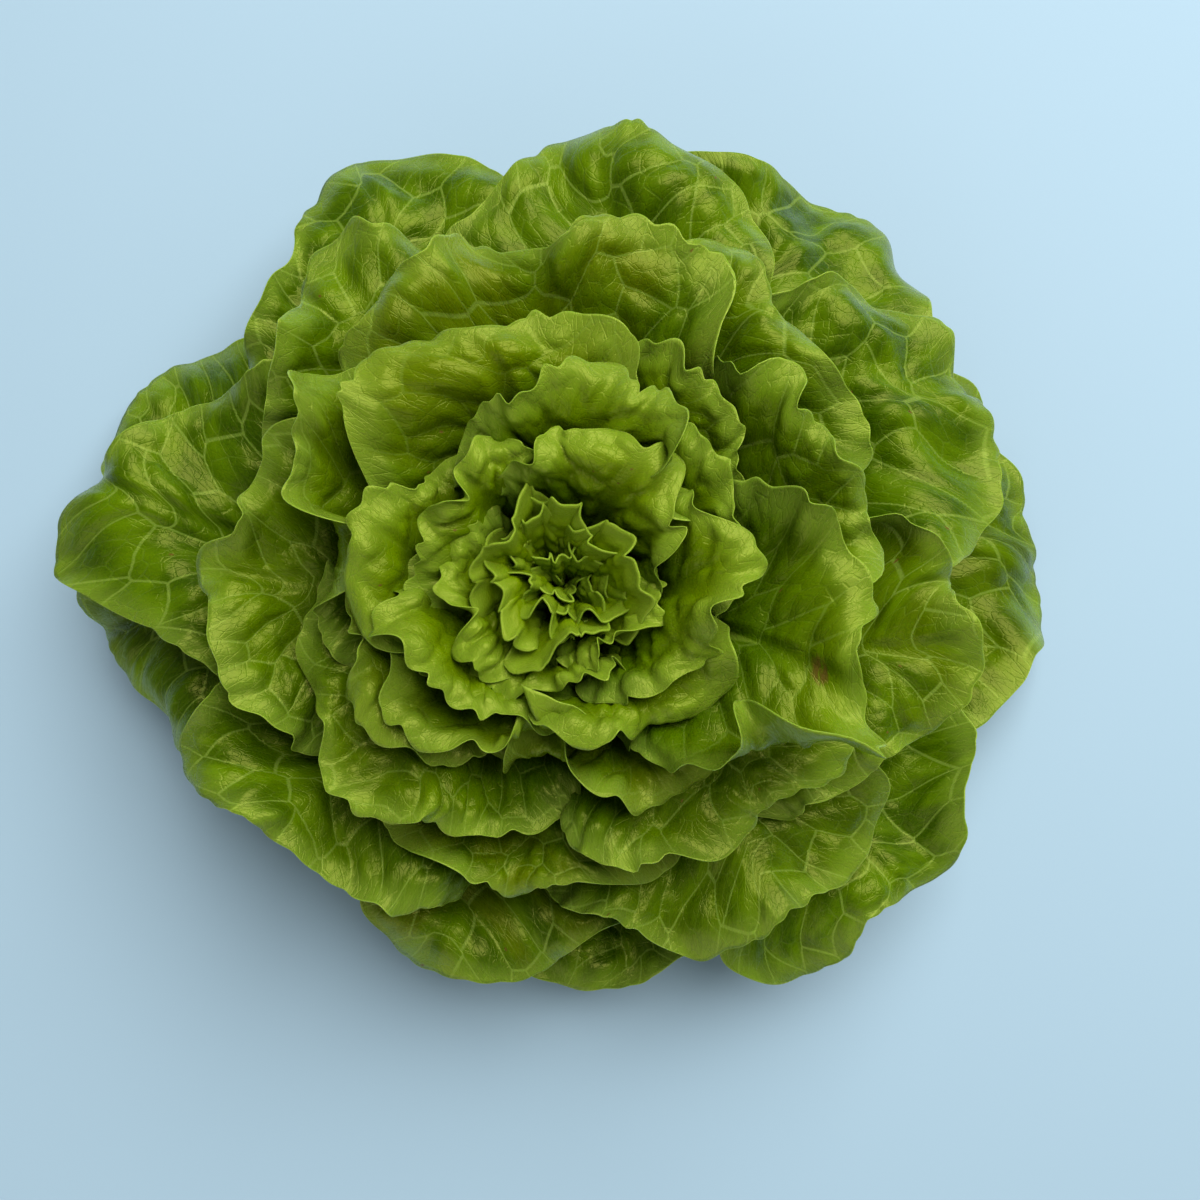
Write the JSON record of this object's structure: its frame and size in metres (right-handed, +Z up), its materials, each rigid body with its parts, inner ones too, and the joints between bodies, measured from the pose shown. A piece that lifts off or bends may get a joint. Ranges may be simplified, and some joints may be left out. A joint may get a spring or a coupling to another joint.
{
  "type": "head of lettuce",
  "caption": "Loose head of green lettuce: broad waved leaves spiral round a ruffled heart on a short cut stem that it stands on.",
  "frame": {"origin": "centre of the stem's flat cut face, which the head stands on", "axes": "+Z up along the stem, out of the cut face towards the heart; +X towards the longest outer leaf; +Y towards the back of the head, where the leaves are longer than at the front"},
  "size_m": [0.301, 0.2536, 0.1209],
  "materials": {
    "leaf_blade": "thin living leaf, soft gloss on top, paler and duller below",
    "heart_leaf": "young, paler, ruffled leaf with a soft gloss",
    "stem_flesh": "pale, moist, matte stalk"
  },
  "bodies": {
    "root": {"stem": "stem_flesh", "leaf_01": "leaf_blade", "leaf_02": "leaf_blade", "leaf_03": "leaf_blade", "leaf_04": "leaf_blade", "leaf_05": "leaf_blade", "leaf_06": "leaf_blade", "leaf_07": "leaf_blade", "leaf_08": "leaf_blade", "leaf_09": "leaf_blade", "leaf_10": "leaf_blade", "leaf_11": "leaf_blade", "leaf_12": "leaf_blade", "leaf_13": "leaf_blade", "leaf_14": "leaf_blade", "leaf_15": "leaf_blade", "leaf_16": "leaf_blade", "leaf_17": "leaf_blade", "leaf_18": "leaf_blade", "leaf_19": "leaf_blade", "leaf_20": "leaf_blade", "leaf_21": "leaf_blade", "leaf_22": "leaf_blade", "leaf_23": "leaf_blade", "leaf_24": "leaf_blade", "leaf_25": "leaf_blade", "leaf_26": "leaf_blade", "leaf_27": "leaf_blade", "leaf_28": "leaf_blade", "leaf_29": "leaf_blade", "leaf_30": "leaf_blade", "leaf_31": "leaf_blade", "leaf_32": "leaf_blade", "leaf_33": "leaf_blade", "leaf_34": "leaf_blade", "leaf_35": "leaf_blade", "leaf_36": "leaf_blade", "leaf_37": "leaf_blade", "leaf_38": "leaf_blade", "leaf_39": "leaf_blade", "leaf_40": "leaf_blade", "heart": "heart_leaf"}
  },
  "joints": []
}
